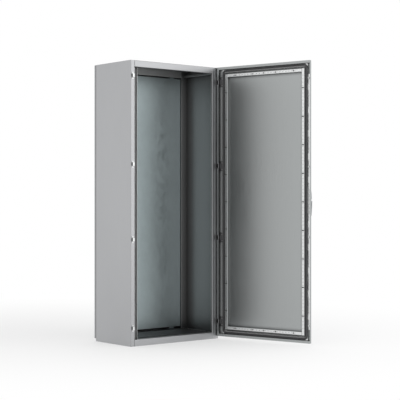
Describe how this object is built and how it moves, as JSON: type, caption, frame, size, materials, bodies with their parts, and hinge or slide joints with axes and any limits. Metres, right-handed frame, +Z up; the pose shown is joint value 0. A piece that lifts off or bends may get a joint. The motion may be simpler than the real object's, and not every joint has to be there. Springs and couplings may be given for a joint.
{
  "type": "floor-standing stainless steel enclosure",
  "caption": "Floor-standing stainless steel electrical enclosure with one hinged door hung open, a zinc mounting plate inside and a rack-and-pinion rod lock on the door",
  "frame": {"origin": "on the floor, at the centre of the four anchor holes and of the shell's footprint", "axes": "+X to the hinge side seen from the front, +Y to the rear, +Z up"},
  "size_m": [1.0112, 1.236, 2.0025],
  "materials": {
    "stainless": "brushed stainless sheet",
    "frame_steel": "satin",
    "zinc_plate": "zinc-coated sheet",
    "bright_zinc": "bright zinc",
    "seal": "matt foam",
    "handle_metal": "satin die-cast"
  },
  "bodies": {
    "cabinet": {"left_side_panel": "stainless", "right_side_panel": "stainless", "roof_panel": "stainless", "front_sill": "stainless", "rear_sill": "stainless", "base_rail_front": "stainless", "base_rail_rear": "stainless", "base_rail_left": "stainless", "base_rail_right": "stainless", "gland_gasket": "seal", "gland_plate_front": "stainless", "gland_plate_middle": "stainless", "gland_plate_rear": "stainless", "gland_screws": "bright_zinc", "upright_front_left": "frame_steel", "upright_front_right": "frame_steel", "upright_rear_left": "frame_steel", "upright_rear_right": "frame_steel", "top_rail_left": "frame_steel", "top_rail_right": "frame_steel", "top_rail_rear": "frame_steel", "mounting_plate": "zinc_plate", "plate_foot_left": "zinc_plate", "plate_foot_right": "zinc_plate", "plate_hanger_left": "zinc_plate", "plate_hanger_right": "zinc_plate", "plate_bolts": "bright_zinc", "rear_panel": "stainless", "rear_gasket": "seal", "rear_panel_screws": "bright_zinc", "roof_plugs": "bright_zinc", "lock_catches": "bright_zinc", "hinge_bases": "frame_steel", "hinge_screws": "bright_zinc", "hinge_pins": "bright_zinc"},
    "door": {"door_panel": "stainless", "hinge_leaves": "frame_steel", "gasket_seat": "frame_steel", "door_gasket": "seal", "door_rail_top": "bright_zinc", "door_rail_bottom": "bright_zinc", "door_rail_hinge": "bright_zinc", "door_rail_lock": "bright_zinc", "rod_guides": "frame_steel", "lock_cover": "frame_steel", "lock_cover_screws": "bright_zinc", "handle_escutcheon": "handle_metal"},
    "handle": {"swing_handle": "handle_metal", "lock_spindle": "frame_steel", "lock_pinion": "frame_steel"},
    "key_insert": {"key_insert": "bright_zinc"},
    "upper_rod": {"upper_rod": "bright_zinc"},
    "lower_rod": {"lower_rod": "bright_zinc"}
  },
  "joints": [
    {"name": "door_hinge", "type": "hinge", "parent": "cabinet", "child": "door", "pos_m": [0.391, -0.229, 1.01], "axis": [0, 0, 1], "range_deg": [-104, 16]},
    {"name": "handle_turn", "type": "hinge", "parent": "door", "child": "handle", "pos_m": [0.58868, -0.9805, 1.01], "axis": [0.9703, 0.2419, 0], "range_deg": [0, 90]},
    {"name": "key_turn", "type": "hinge", "parent": "handle", "child": "key_insert", "pos_m": [0.58868, -0.9805, 1.01], "axis": [0.9703, 0.2419, 0], "range_deg": [0, 90]},
    {"name": "upper_rod_slide", "type": "slide", "parent": "door", "child": "upper_rod", "axis": [0, 0, 1], "range_m": [0, 0.0095]},
    {"name": "lower_rod_slide", "type": "slide", "parent": "door", "child": "lower_rod", "axis": [0, 0, 1], "range_m": [-0.0095, 0]}
  ],
  "couplings": [
    {"joint": "upper_rod_slide", "follows": "handle_turn", "m_per_rad": 0.006},
    {"joint": "lower_rod_slide", "follows": "handle_turn", "m_per_rad": -0.006}
  ]
}
